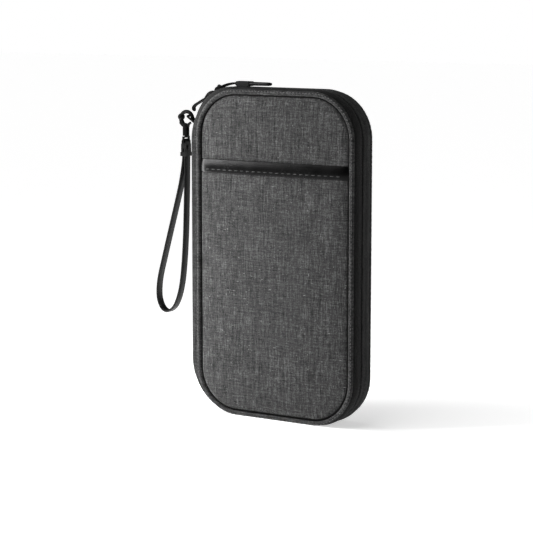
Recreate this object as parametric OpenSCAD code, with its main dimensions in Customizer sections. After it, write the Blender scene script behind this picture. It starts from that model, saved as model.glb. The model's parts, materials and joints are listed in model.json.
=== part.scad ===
// Zip-around passport holder wallet on a wrist strap, standing on its bottom edge.
// Origin: centre of the bottom edge, on the plane where the two halves meet.
// +X runs from the spine to the opening edge, +Y from front to back, +Z up.

/* [Case] */
// Width over the piping, from spine seam to opening edge
case_w = 136; // [120:1:150]
// Height over the piping
case_h = 246; // [230:1:260]
// Outer radius of the case corners at the piping
corner_r = 35; // [30:1:40]
// Distance from the middle plane to the centre of each piping
piping_y = 13; // [12:0.1:14]
// Diameter of the piping cord in its fabric
piping_d = 4; // [3:0.1:4.2]
// How far the fabric spine bows out past the piping
spine_bulge = 9.2; // [6:0.1:10]

/* [Front pocket] */
// Height of the slip pocket's mouth above the base
mouth_z = 192.6; // [180:0.1:200]
// Height of the leather binding on the mouth
trim_h = 9.6; // [8:0.1:12]
// Pitch of the stitches in the binding
stitch_pitch = 5.1; // [3.5:0.1:6]

/* [Strap] */
// Width of the wrist strap
strap_w = 7; // [6:0.1:7.2]
// Thickness of the wrist strap
strap_t = 1.6; // [1.2:0.1:2]

/* [Hidden] */
$fn = 48;

half_w = case_w / 2;
edge_x = half_w - corner_r;
edge_z = case_h - corner_r;
mid_z = case_h / 2;

// Layers of each half, as distances from the middle plane
panel_y = [12.8, 13.8];
board_y = [10.8, 12.8];
lining_y = [10.2, 10.8];
pocket_y = [14, 14.9];
trim_y = 15.6;
panel_inset = piping_d + 0.1;

// The spine fabric bows out as an ellipse of this half-depth
bow_y = 12.5;
// The left corners grow by this much towards the middle plane
bow_r = 6;
bow_x = spine_bulge - bow_r;
// The zip starts and ends at this angle down from the corner's horizontal
zip_end = 17.5;
arc_steps = 8;
// The strap's ring is sewn into a gap of this angle at the zip's upper end
ring_gap = 5;

band_t = 0.9;
tape_inset = 0.95;
tape_t = 0.6;
coil_inset = 1.6;
coil_t = 1.3;
spine_t = 1.2;

// Outline points. A station is [corner, angle]; corners run 0 top left, 1 top
// right, 2 bottom right, 3 bottom left.
function is_left(c) = c == 0 || c == 3;
function is_top(c) = c < 2;
function outline_r(c, b, inset) = corner_r - inset + (is_left(c) ? b * bow_r : 0);
function outline_cx(c, b) = is_left(c) ? -edge_x - b * bow_x : edge_x;
function outline_cz(c, b) =
  let (grow = is_left(c) ? b * bow_r : 0)
  is_top(c) ? edge_z - grow : corner_r + grow;
function outline_point(s, y, b, inset) = [
  outline_cx(s[0], b) + outline_r(s[0], b, inset) * cos(s[1]),
  y,
  outline_cz(s[0], b) + outline_r(s[0], b, inset) * sin(s[1])
];
function arc_stations(c, a0, a1, n) = [for (i = [0:n]) [c, a0 + (a1 - a0) * i / n]];
zip_path = concat(
  arc_stations(0, 180 - zip_end - ring_gap, 90, arc_steps),
  arc_stations(1, 90, 0, arc_steps),
  arc_stations(2, 0, -90, arc_steps),
  arc_stations(3, -90, zip_end - 180, arc_steps)
);
spine_path = concat(
  arc_stations(3, zip_end - 180.3, -180, 2),
  arc_stations(0, 180, 180.3 - zip_end, 2)
);

// Cross-sections. Each point is [distance from the middle plane, bow, inset].
function bow(y) = sqrt(1 - pow(y / bow_y, 2));
function groove_inset(y) = max(0, (y - 7) * 0.3);
function skin(ys, base, t) = concat(
  [for (y = ys) [y, bow(y), base + groove_inset(y)]],
  [for (i = [len(ys) - 1:-1:0]) [ys[i], bow(ys[i]), base + groove_inset(ys[i]) + t]]
);
band_skin = skin([11, 9, 7, 4, 1.2], 0, band_t);
tape_skin = skin([8, 5, 0.25], tape_inset, tape_t);
coil_skin = skin([1.45, 0.15], coil_inset, coil_t);
spine_skin = skin([11, 9.5, 7.5, 5, 2.5, 0.15], 0, spine_t);

// A closed solid swept along an open row of stations
module loft(path, section) {
  k = len(section);
  n = len(path);
  points = [for (s = path) for (q = section) outline_point(s, q[0], q[1], q[2])];
  sides = [for (i = [0:n - 2]) for (j = [0:k - 1])
    let (a = i * k + j, b = i * k + (j + 1) % k)
    each [[a, b, b + k], [a, b + k, a + k]]];
  half = k / 2;
  cap = [for (j = [0:half - 2])
    each [[j, j + 1, k - 2 - j], [j, k - 2 - j, k - 1 - j]]];
  start = [for (f = cap) [f[2], f[1], f[0]]];
  finish = [for (f = cap) [for (v = f) v + (n - 1) * k]];
  polyhedron(points = points, faces = concat(sides, start, finish), convexity = 6);
}

// The case outline as a flat shape in X and Z, drawn as X and Y
module outline(inset) {
  r = corner_r - inset;
  translate([0, mid_z]) {
    square([case_w - 2 * inset, case_h - 2 * corner_r], center = true);
    square([case_w - 2 * corner_r, case_h - 2 * inset], center = true);
    for (sx = [-1, 1])
      for (sz = [-1, 1])
        translate([sx * edge_x, sz * (mid_z - corner_r)]) circle(r, $fn = 96);
  }
}

// Anything flat: drawn in X and Z, filling a span of Y
module upright(span) {
  translate([0, span[1], 0]) rotate([90, 0, 0]) linear_extrude(span[1] - span[0]) children();
}

// A rectangular sheet from corner [x, z] to corner [x, z]
module sheet(low, high, span) {
  upright(span) translate(low) square(high - low);
}

module front_side() {
  mirror([0, 1, 0]) children();
}

module piping() {
  inset = piping_d / 2;
  r = corner_r - inset;
  translate([0, piping_y, 0]) rotate([90, 0, 0]) {
    for (c = [[edge_x, edge_z, 0], [-edge_x, edge_z, 90], [-edge_x, corner_r, 180], [edge_x, corner_r, 270]])
      translate([c[0], c[1], 0]) rotate(c[2]) rotate_extrude(angle = 90)
        translate([r, 0]) circle(d = piping_d);
    for (sx = [-1, 1])
      translate([sx * (half_w - inset), corner_r, 0]) rotate([-90, 0, 0])
        cylinder(d = piping_d, h = case_h - 2 * corner_r);
    for (z = [inset, case_h - inset])
      translate([-edge_x, z, 0]) rotate([0, 90, 0])
        cylinder(d = piping_d, h = case_w - 2 * corner_r);
  }
}

// Front half
module front_panel() {
  color("#4a4a4c") front_side() upright(panel_y) outline(panel_inset);
}
module front_pocket() {
  color("#505052") front_side() upright(pocket_y) intersection() {
    outline(panel_inset);
    translate([-half_w, 0]) square([case_w, mouth_z]);
  }
}
module pocket_trim() {
  top = mouth_z + 0.8;
  half = half_w - panel_inset;
  color("#151515") front_side() {
    sheet([-half, mouth_z - trim_h], [half, top], [pocket_y[1], trim_y]);
    sheet([-half, mouth_z], [half, top], [pocket_y[0], pocket_y[1]]);
  }
}
module trim_stitching() {
  stitch_z = mouth_z - trim_h + 2.8;
  length = 0.68 * stitch_pitch;
  count = floor((case_w - 16) / stitch_pitch);
  color("#2c2c2c") for (i = [0:count - 1])
    translate([(i - (count - 1) / 2) * stitch_pitch - length / 2, -trim_y, stitch_z])
      rotate([0, 90, 0]) cylinder(r = 0.35, h = length, $fn = 16);
}
module front_board() {
  color("#2a2a2a") front_side() upright(board_y) outline(panel_inset + 0.3);
}
module front_lining() {
  color("#26282b") front_side() upright(lining_y) outline(panel_inset + 0.3);
}
module front_piping() {
  color("#4a4a4c") front_side() piping();
}
module front_band() {
  color("#1d1d1e") front_side() loft(zip_path, band_skin);
}
module front_zip_tape() {
  color("#141414") front_side() loft(zip_path, tape_skin);
}
module front_zip_coil() {
  color("#101010") front_side() loft(zip_path, coil_skin);
}
module spine_front() {
  color("#4a4a4c") front_side() loft(spine_path, spine_skin);
}

// Inside of the front half: zipped mesh pocket below, open pocket above
inner_half = half_w - 10;
inner_zip_z = 126.5;
mesh_y = [8.9, 9.4];
module mesh_pocket() {
  color("#1a1a1a") front_side() upright(mesh_y) intersection() {
    outline(10);
    translate([-inner_half, 0]) square([2 * inner_half, inner_zip_z - 5.5]);
  }
}
module boarding_pocket() {
  color("#2e3033") front_side() sheet([-inner_half, inner_zip_z + 5.5], [inner_half, 200], mesh_y);
}
module inner_zip_tape() {
  color("#121212") front_side() sheet(
    [-inner_half, inner_zip_z - 5.5], [inner_half, inner_zip_z + 5.5], [mesh_y[0], mesh_y[1] + 0.1]);
}
module inner_zip_coil() {
  color("#161616") front_side() sheet(
    [-inner_half + 2, inner_zip_z - 1.2], [inner_half - 2, inner_zip_z + 1.2], [8, mesh_y[0]]);
}
inner_slider_x = -inner_half + 8;
inner_bar_y = 5.8;
inner_bar_r = 0.5;
module inner_cross(r, half) {
  translate([inner_slider_x - half, inner_bar_y, inner_zip_z]) rotate([0, 90, 0]) cylinder(r = r, h = 2 * half);
}
module inner_slider() {
  color("#3a3a3a") front_side() {
    sheet([inner_slider_x - 4, inner_zip_z - 3], [inner_slider_x + 4, inner_zip_z + 3], [6.7, 7.8]);
    for (s = [-1, 1])
      sheet([inner_slider_x + s * 2.7 - 0.4, inner_zip_z - 0.9],
        [inner_slider_x + s * 2.7 + 0.4, inner_zip_z + 0.9], [5, 6.8]);
    inner_cross(inner_bar_r, 2.8);
  }
}
module inner_pull() {
  color("#202020") front_side() difference() {
    union() {
      inner_cross(0.85, 1.9);
      sheet([inner_slider_x - 1.9, inner_zip_z - 3], [inner_slider_x + 1.9, inner_zip_z], [5.3, 6.3]);
      sheet([inner_slider_x - 2.2, inner_zip_z - 16], [inner_slider_x + 2.2, inner_zip_z - 1.6], [5.3, 6.3]);
    }
    inner_cross(inner_bar_r + 0.06, 3);
  }
}

// Back half
module back_panel() {
  color("#4a4a4c") upright(panel_y) outline(panel_inset);
}
module back_board() {
  color("#2a2a2a") upright(board_y) outline(panel_inset + 0.3);
}
module back_lining() {
  color("#26282b") upright(lining_y) outline(panel_inset + 0.3);
}
module back_piping() {
  color("#4a4a4c") piping();
}
module back_band() {
  color("#262627") loft(zip_path, band_skin);
}
module back_zip_tape() {
  color("#141414") loft(zip_path, tape_skin);
}
module back_zip_coil() {
  color("#101010") loft(zip_path, coil_skin);
}
module spine_back() {
  color("#4a4a4c") loft(spine_path, spine_skin);
}

// Inside of the back half: document sleeve, card pockets above, passport pockets below
sleeve_y = [9.4, 10];
layer_step = 1;
function layer(n) = [sleeve_y[0] - n * layer_step, sleeve_y[1] - n * layer_step];
module document_sleeve() {
  color("#303236") upright(sleeve_y) intersection() {
    outline(9);
    translate([-half_w, 0]) square([case_w, 222]);
  }
}
module card_pocket(n, top) {
  color("#34363a") sheet([-inner_half + 6, 146], [inner_half - 6, top], layer(n));
}
module card_pocket_1() { card_pocket(1, 212); }
module card_pocket_2() { card_pocket(2, 196); }
module card_pocket_3() { card_pocket(3, 180); }
module passport_pocket(n, top) {
  color("#2e3033") upright(layer(n)) intersection() {
    outline(11);
    translate([-inner_half, 0]) square([2 * inner_half, top]);
  }
}
module passport_pocket_rear() { passport_pocket(1, 132); }
module passport_pocket_front() { passport_pocket(2, 104); }

// Places on the zip's corner arc at the top left, where both sliders are parked
arc_c = [-edge_x - bow_x, edge_z - bow_r];
arc_r = corner_r + bow_r;
module on_arc(angle, lift) {
  translate([arc_c[0], 0, arc_c[1]]) rotate([0, 90 - angle, 0]) translate([0, 0, arc_r + lift]) children();
}
stop_angle = 180 - zip_end - 9;
module zip_stops() {
  color("#2b2b2b") for (flip = [0, 1])
    translate([0, 0, flip * case_h]) mirror([0, 0, flip])
      on_arc(stop_angle, 0.2) translate([-0.9, 0.4, 0]) cube([1.8, 3, 0.9]);
}

// A zip slider: a plate over the zip with two fins and a bridge that holds the pull
slider_lift = 0.35;
slider_l = 9.4;
slider_w = 7.4;
bridge_h = 4.6;
bridge_pin_z = 3.4;
bridge_bore_r = 0.78;
module slider_shape() {
  difference() {
    union() {
      upright([-slider_w / 2, slider_w / 2]) translate([-slider_l / 2, 0]) square([slider_l, 1.5]);
      upright([-1, 1]) {
        translate([-3.4, 0]) square([6.8, bridge_h - 1.6]);
        translate([0, bridge_h - 2.6]) intersection() {
          circle(r = 3.4);
          translate([-4, 0]) square([8, 8]);
        }
      }
    }
    translate([0, -2, bridge_pin_z]) rotate([-90, 0, 0]) cylinder(r = bridge_bore_r, h = 4);
  }
}
slider_a_angle = 118;
slider_b_angle = 133;
module slider_a() {
  color("#2a2a2a") on_arc(slider_a_angle, slider_lift) slider_shape();
}
module slider_b() {
  color("#2a2a2a") on_arc(slider_b_angle, slider_lift) slider_shape();
}
function arc_point(angle, lift) =
  [arc_c[0] + (arc_r + lift) * cos(angle), arc_c[1] + (arc_r + lift) * sin(angle)];
pin_a = arc_point(slider_a_angle, slider_lift + bridge_pin_z);
pin_b = arc_point(slider_b_angle, slider_lift + bridge_pin_z);

// A wire ring in the plane of Y and its own length: a cross bar, two legs and a bent far end
module wire_loop(length, half, r, bend) {
  leg_r = r - 0.04;
  flat = half - bend;
  translate([0, -half - r / 2, 0]) rotate([-90, 0, 0]) cylinder(r = r, h = 2 * half + r);
  for (s = [-1, 1]) translate([0, s * half, 0]) rotate([0, 90, 0]) cylinder(r = leg_r, h = length - bend);
  translate([length - bend, flat, 0]) rotate_extrude(angle = 90) translate([bend, 0]) circle(r = leg_r);
  translate([length - bend, -flat, 0]) rotate(-90) rotate_extrude(angle = 90)
    translate([bend, 0]) circle(r = leg_r);
  translate([length, -flat, 0]) rotate([-90, 0, 0]) cylinder(r = leg_r, h = 2 * flat);
}
wire_r = 0.7;
wire_angle = 42;
module wire_pull() {
  color("#1a1a1a") translate([pin_b[0], 0, pin_b[1]]) rotate([0, 180 - wire_angle, 0])
    wire_loop(14, 3.1, wire_r, 2.5);
}

// Slider A's pull: two arms and a bowed thong, then a keeper and a flat tab
link_end = [-39.4, 249.5];
link_r = 0.8;
link_pin_r = 0.7;
link_half = 2.1;
function bowed(t, a, b, rise) = [
  a[0] + (b[0] - a[0]) * t,
  0,
  a[1] + (b[1] - a[1]) * t + rise * 4 * t * (1 - t)
];
// A round cord through points in the middle plane
module thong(points, r, sides) {
  n = len(points);
  tangents = [for (i = [0:n - 1])
    let (d = points[min(i + 1, n - 1)] - points[max(i - 1, 0)]) d / norm(d)];
  rings = [for (i = [0:n - 1]) for (j = [0:sides - 1])
    let (a = 360 * j / sides, up = [-tangents[i][2], 0, tangents[i][0]])
    points[i] + r * (cos(a) * up + sin(a) * [0, 1, 0])];
  walls = [for (i = [0:n - 2]) for (j = [0:sides - 1])
    let (a = i * sides + j, b = i * sides + (j + 1) % sides)
    each [[a, b, b + sides], [a, b + sides, a + sides]]];
  start = [[for (j = [sides - 1:-1:0]) j]];
  finish = [[for (j = [0:sides - 1]) (n - 1) * sides + j]];
  polyhedron(points = rings, faces = concat(walls, start, finish), convexity = 4);
}
module link_pin(place, r) {
  translate([place[0], -link_half, place[1]]) rotate([-90, 0, 0]) cylinder(r = r, h = 2 * link_half);
}
module pull_link() {
  color("#141414") {
    link_pin(pin_a, link_pin_r);
    link_pin(link_end, link_pin_r);
    for (s = [-1, 1])
      translate([0, s * link_half, 0]) thong(
        [for (i = [0:8]) bowed(i / 8, pin_a, link_end, 1.3)], link_r, 10);
  }
}
keeper_x = [-38.2, -27.8];
keeper_z = [247.6, 251.1];
module pull_keeper() {
  nose = 1.15;
  color("#1c1c1c") difference() {
    union() {
      translate([keeper_x[0], -3.6, keeper_z[0]])
        cube([keeper_x[1] - keeper_x[0], 7.2, keeper_z[1] - keeper_z[0]]);
      translate([link_end[0], -nose, link_end[1]]) rotate([-90, 0, 0]) cylinder(r = 1.5, h = 2 * nose);
      translate([link_end[0], -nose, link_end[1] - 1.5]) cube([1.5, 2 * nose, 3]);
    }
    translate([link_end[0], -3, link_end[1]]) rotate([-90, 0, 0]) cylinder(r = link_pin_r + 0.06, h = 6);
  }
}
tab_x = [-27.8, -10];
module pull_tab() {
  color("#181818") translate([0, 0, 248]) difference() {
    linear_extrude(2.8) {
      translate([tab_x[0], -3]) square([tab_x[1] - 3 - tab_x[0], 6]);
      translate([tab_x[1] - 3, 0]) circle(r = 3);
    }
    translate([tab_x[1] - 4.5, 0, -1]) cylinder(r = 1.1, h = 5);
  }
}

// Fabric tab at the zip's upper end, folded round the D-ring's bar
ring_bar = [-76.9, 218.8];
ring_wire_r = 0.85;
tab_half = 1.65;
module ring_tab() {
  color("#1a1a1a") difference() {
    union() {
      translate([ring_bar[0], -tab_half, ring_bar[1]]) rotate([-90, 0, 0]) cylinder(r = 1.6, h = 2 * tab_half);
      translate([ring_bar[0] - 0.2, 0, ring_bar[1] - 4.4]) rotate([0, -14, 0]) rotate([90, 0, 90])
        linear_extrude(0.9) polygon([[-1.4, 4.4], [1.4, 4.4], [1.4, 2], [0.35, 0], [-0.35, 0], [-1.4, 2]]);
    }
    translate([ring_bar[0], -3, ring_bar[1]]) rotate([-90, 0, 0]) cylinder(r = ring_wire_r + 0.05, h = 6);
  }
}
ring_l = 8.49;
ring_angle = 34.4;
module d_ring() {
  color("#202020") translate([ring_bar[0], 0, ring_bar[1]]) rotate([0, 180 + ring_angle, 0])
    wire_loop(ring_l, 2.55, ring_wire_r, 1.4);
}
ring_far = [ring_bar[0] - ring_l * cos(ring_angle), ring_bar[1] + ring_l * sin(ring_angle)];

// Snap hook in the plane of X and Z: round claw with a knuckle, body and a bored boss for the swivel
claw_c = [-85.8, 221.3];
claw_r = 5.4;
claw_wire_r = 1.45;
hook_x = -86.5;
boss_z = [208.4, 217.5];
swivel_r = 1.25;
module snap_hook() {
  color("#242424") difference() {
    union() {
      translate([claw_c[0], 0, claw_c[1]]) rotate([90, 0, 0]) rotate(-15)
        rotate_extrude(angle = 245) translate([claw_r, 0]) circle(r = claw_wire_r, $fn = 32);
      translate([claw_c[0], 0, claw_c[1]]) rotate([90, 0, 0]) translate([0, 0, -claw_wire_r])
        linear_extrude(2 * claw_wire_r) polygon([
          [-5.6, -1], [-3.9, -1], [-2.6, -3.2], [1.8, -4], [1.8, -6], [-3.4, -6], [-5.9, -3.6]
        ]);
      translate([claw_c[0] - 4.9, 0, claw_c[1] + 1.3]) sphere(r = 2.7);
      translate([hook_x, 0, boss_z[0]]) cylinder(r = 2.6, h = boss_z[1] - boss_z[0]);
    }
    translate([hook_x, 0, boss_z[0] - 1]) cylinder(r = swivel_r + 0.06, h = 5);
    translate([hook_x, 0, boss_z[0] + 3.6]) cylinder(r = 2.1, h = 1.7);
    translate([gate_pivot[0], -3, gate_pivot[1]]) rotate([-90, 0, 0]) cylinder(r = 0.55, h = 6);
    gate_room();
  }
}
gate_pivot = [-84.6, 216.6];
gate_tip = [-80.9, 219.6];
module gate_room() {
  translate([gate_pivot[0] - 1.3, -0.95, gate_pivot[1] - 1.3]) cube([6, 1.9, 3.2]);
}
module hook_gate() {
  run = norm(gate_tip - gate_pivot);
  lean = atan2(gate_tip[1] - gate_pivot[1], gate_tip[0] - gate_pivot[0]);
  color("#303030") translate([gate_pivot[0], 0, gate_pivot[1]]) difference() {
    union() {
      rotate([-90, 0, 0]) translate([0, 0, -0.8]) cylinder(r = 1.1, h = 1.6);
      rotate([0, -lean, 0]) translate([0, -0.8, -0.8]) cube([run - 1.7, 1.6, 1.6]);
    }
    rotate([-90, 0, 0]) translate([0, 0, -2]) cylinder(r = 0.55, h = 4);
  }
}
module gate_pin() {
  color("#3a3a3a") translate([gate_pivot[0], -1.4, gate_pivot[1]]) rotate([-90, 0, 0])
    cylinder(r = 0.5, h = 2.8, $fn = 24);
}

// Swivel: a headed post in the hook's boss and a flat eye for the strap below it
eye_z = [205.2, 208];
eye_half = 4.1;
eye_wire = 1.6;
module swivel_eye() {
  color("#242424") {
    translate([hook_x, 0, eye_z[1] - 0.4]) cylinder(r = swivel_r, h = boss_z[0] + 4 - eye_z[1] + 0.4);
    translate([hook_x, 0, boss_z[0] + 3.8]) cylinder(r = 1.95, h = 1.3);
    translate([hook_x - eye_wire / 2, 0, 0]) rotate([90, 0, 90]) linear_extrude(eye_wire) difference() {
      translate([-eye_half, eye_z[0] - 2]) square([2 * eye_half, 4.8]);
      translate([-eye_half + 1.1, eye_z[0] - 0.5]) square([2 * eye_half - 2.2, 2.2]);
    }
  }
}
eye_bar = [hook_x, eye_z[0] - 1.25];

// Folded leather tab round the eye's bar, with its keeper and rivet
tab_bottom = 193.6;
module strap_tab() {
  half = 2.9;
  color("#161616") difference() {
    union() {
      translate([eye_bar[0], -half, eye_bar[1]]) rotate([-90, 0, 0]) cylinder(r = 2.3, h = 2 * half);
      translate([eye_bar[0] - 2.3, -strap_w / 2, tab_bottom]) cube([4.6, strap_w, eye_bar[1] - tab_bottom - 1.6]);
      translate([eye_bar[0] - 2.3, -half, tab_bottom]) cube([4.6, 2 * half, eye_bar[1] - tab_bottom]);
    }
    translate([eye_bar[0], -half - 0.1, eye_bar[1]]) rotate([-90, 0, 0]) cylinder(r = 1.16, h = 2 * half + 0.2);
    translate([eye_bar[0] - 1.75, -5, tab_bottom - 1]) cube([3.5, 10, 6.2]);
  }
}
module strap_keeper() {
  color("#101010") difference() {
    translate([eye_bar[0] - 2.75, -3.95, tab_bottom - 0.6]) cube([5.5, 7.9, 3]);
    translate([eye_bar[0] - 2.35, -3.55, tab_bottom - 2]) cube([4.7, 7.1, 6]);
  }
}
module strap_rivet() {
  color("#303030") translate([eye_bar[0] - 3.1, 0, tab_bottom + 5.9]) rotate([0, 90, 0]) {
    cylinder(r = 1.7, h = 0.75);
    translate([0, 0, 0.7]) cylinder(r = 0.8, h = 4.8);
    translate([0, 0, 5.45]) cylinder(r = 1.7, h = 0.75);
  }
}

// The strap's loop: a flat band whose centreline runs down one leg and up the other
strap_route = [
  [-85.6, 198.4], [-85.6, 186], [-85.9, 168], [-86.4, 150], [-87, 134], [-88.3, 114],
  [-90.4, 96], [-93.4, 84], [-97.6, 75.6], [-103.4, 71.6], [-108.6, 73.6], [-111.8, 80],
  [-112.4, 88], [-111, 98.5], [-107, 113.5], [-101, 135], [-95.6, 154], [-91, 171],
  [-88.4, 184], [-87.4, 192], [-87.4, 198.4]
];
function spline_at(p, i, t) =
  let (a = p[max(i - 1, 0)], b = p[i], c = p[i + 1], d = p[min(i + 2, len(p) - 1)])
  0.5 * (2 * b + (c - a) * t + (2 * a - 5 * b + 4 * c - d) * t * t + (3 * b - a - 3 * c + d) * t * t * t);
function smooth(p, n) = concat(
  [for (i = [0:len(p) - 2]) for (k = [0:n - 1]) spline_at(p, i, k / n)], [p[len(p) - 1]]);
function normals(p) = [for (i = [0:len(p) - 1])
  let (d = p[min(i + 1, len(p) - 1)] - p[max(i - 1, 0)]) [-d[1], d[0]] / norm(d)];
module wrist_strap() {
  line = smooth(strap_route, 3);
  side = normals(line);
  one = [for (i = [0:len(line) - 1]) line[i] + side[i] * strap_t / 2];
  two = [for (i = [len(line) - 1:-1:0]) line[i] - side[i] * strap_t / 2];
  color("#161616") upright([-strap_w / 2, strap_w / 2]) polygon(concat(one, two));
}

front_panel();
front_pocket();
pocket_trim();
trim_stitching();
front_board();
front_lining();
front_piping();
front_band();
front_zip_tape();
front_zip_coil();
spine_front();
mesh_pocket();
boarding_pocket();
inner_zip_tape();
inner_zip_coil();
inner_slider();
inner_pull();
back_panel();
back_board();
back_lining();
back_piping();
back_band();
back_zip_tape();
back_zip_coil();
spine_back();
document_sleeve();
card_pocket_1();
card_pocket_2();
card_pocket_3();
passport_pocket_rear();
passport_pocket_front();
zip_stops();
slider_b();
wire_pull();
slider_a();
pull_link();
pull_keeper();
pull_tab();
ring_tab();
d_ring();
snap_hook();
hook_gate();
gate_pin();
swivel_eye();
strap_tab();
wrist_strap();
strap_keeper();
strap_rivet();
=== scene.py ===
"""Zip-around passport holder wallet: fabric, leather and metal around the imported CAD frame."""
import json
import math

import bmesh
import bpy
import numpy as np
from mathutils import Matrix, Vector


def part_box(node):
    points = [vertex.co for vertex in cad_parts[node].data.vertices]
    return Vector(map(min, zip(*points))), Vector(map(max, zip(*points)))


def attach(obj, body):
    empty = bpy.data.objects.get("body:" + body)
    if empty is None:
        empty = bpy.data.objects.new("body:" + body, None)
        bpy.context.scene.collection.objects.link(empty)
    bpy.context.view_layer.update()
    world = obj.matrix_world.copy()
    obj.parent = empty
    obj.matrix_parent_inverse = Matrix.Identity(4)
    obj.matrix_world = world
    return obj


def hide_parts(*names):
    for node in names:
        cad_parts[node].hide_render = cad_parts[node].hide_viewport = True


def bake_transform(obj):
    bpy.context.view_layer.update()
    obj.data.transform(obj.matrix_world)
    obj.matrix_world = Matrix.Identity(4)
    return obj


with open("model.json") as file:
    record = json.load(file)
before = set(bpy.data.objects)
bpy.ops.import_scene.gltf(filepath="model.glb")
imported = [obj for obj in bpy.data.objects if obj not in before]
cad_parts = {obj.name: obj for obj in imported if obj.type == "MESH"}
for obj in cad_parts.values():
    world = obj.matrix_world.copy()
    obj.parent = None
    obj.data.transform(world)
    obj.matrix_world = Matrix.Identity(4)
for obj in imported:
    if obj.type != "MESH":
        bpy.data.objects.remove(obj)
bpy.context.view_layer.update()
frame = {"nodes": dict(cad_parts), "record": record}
MM = 0.001


def box_mm(node):
    """A CAD node's lowest and highest X, then Y, then Z at rest, in millimetres."""
    lo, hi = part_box(node)
    return tuple(v / MM for v in (lo.x, hi.x, lo.y, hi.y, lo.z, hi.z))


# ------------------------------------------------------------------ camera and light
# The camera is the one that fits the photographed outline of the front panel
YAW, PITCH = math.radians(32), math.radians(8.4)
DISTANCE, SHIFT_RIGHT, SHIFT_UP = 1408.0, 5.2, 6.9
FOCAL_SHARE = 1906 / 533
SENSOR_W = 36
FORWARD = np.array([-math.sin(YAW) * math.cos(PITCH), math.cos(YAW) * math.cos(PITCH), -math.sin(PITCH)])
RIGHT = np.array([math.cos(YAW), math.sin(YAW), 0.0])
UP = np.cross(RIGHT, FORWARD)
AIM = np.array([0.0, -13.0, 123.0])


def look_at(obj, place, target):
    obj.location = place
    obj.rotation_euler = (Vector(target) - Vector(place)).to_track_quat("-Z", "Y").to_euler()


cam_data = bpy.data.cameras.new("camera")
cam = bpy.data.objects.new("camera", cam_data)
bpy.context.scene.collection.objects.link(cam)
cam_place = (AIM - FORWARD * DISTANCE - RIGHT * SHIFT_RIGHT - UP * SHIFT_UP) * MM
look_at(cam, tuple(cam_place), tuple(cam_place + FORWARD))
cam_data.lens = FOCAL_SHARE * SENSOR_W
cam_data.sensor_width = SENSOR_W
cam_data.clip_start, cam_data.clip_end = 0.05, 30
bpy.context.scene.camera = cam
bpy.context.scene.view_settings.view_transform = "Standard"


def area_light(name, place, target, size, power):
    """A rectangular light at a place, turned towards a target."""
    data = bpy.data.lights.new(name, "AREA")
    data.shape = "RECTANGLE"
    data.size, data.size_y = size
    data.energy = power
    obj = bpy.data.objects.new(name, data)
    bpy.context.scene.collection.objects.link(obj)
    look_at(obj, place, target)
    return obj


# Strengths of the lights, the world and the floor's glow
KEY, SATIN, SUN, FILL, RIM, GLOW = 2.0, 1.7, 1.78, 0.04, 0.4, 0.545
key = area_light("key", (-0.235, -0.105, 0.15), (-0.06, 0, 0.13), (0.08, 0.40), KEY)
area_light("rim", (0.55, 0.35, 0.5), (0.06, 0, 0.15), (0.3, 0.5), RIM)
area_light("satin", (-0.44, -0.44, 0.42), (-0.05, 0, 0.189), (0.05, 0.24), SATIN)
sun_data = bpy.data.lights.new("overhead", "SUN")
sun_data.energy, sun_data.angle = SUN, math.radians(60)
sun = bpy.data.objects.new("overhead", sun_data)
bpy.context.scene.collection.objects.link(sun)
look_at(sun, (-0.36, -0.33, 0.87), (0, 0, 0))

world = bpy.data.worlds.new("studio")
bpy.context.scene.world = world
world.use_nodes = True
tree = world.node_tree
soft = tree.nodes["Background"]
soft.inputs[0].default_value, soft.inputs[1].default_value = (1, 1, 1, 1), FILL
white = tree.nodes.new("ShaderNodeBackground")
white.inputs[0].default_value, white.inputs[1].default_value = (1, 1, 1, 1), 1.0
seen = tree.nodes.new("ShaderNodeMixShader")
tree.links.new(tree.nodes.new("ShaderNodeLightPath").outputs["Is Camera Ray"], seen.inputs[0])
tree.links.new(soft.outputs[0], seen.inputs[1])
tree.links.new(white.outputs[0], seen.inputs[2])
tree.links.new(seen.outputs[0], tree.nodes["World Output"].inputs[0])


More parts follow.
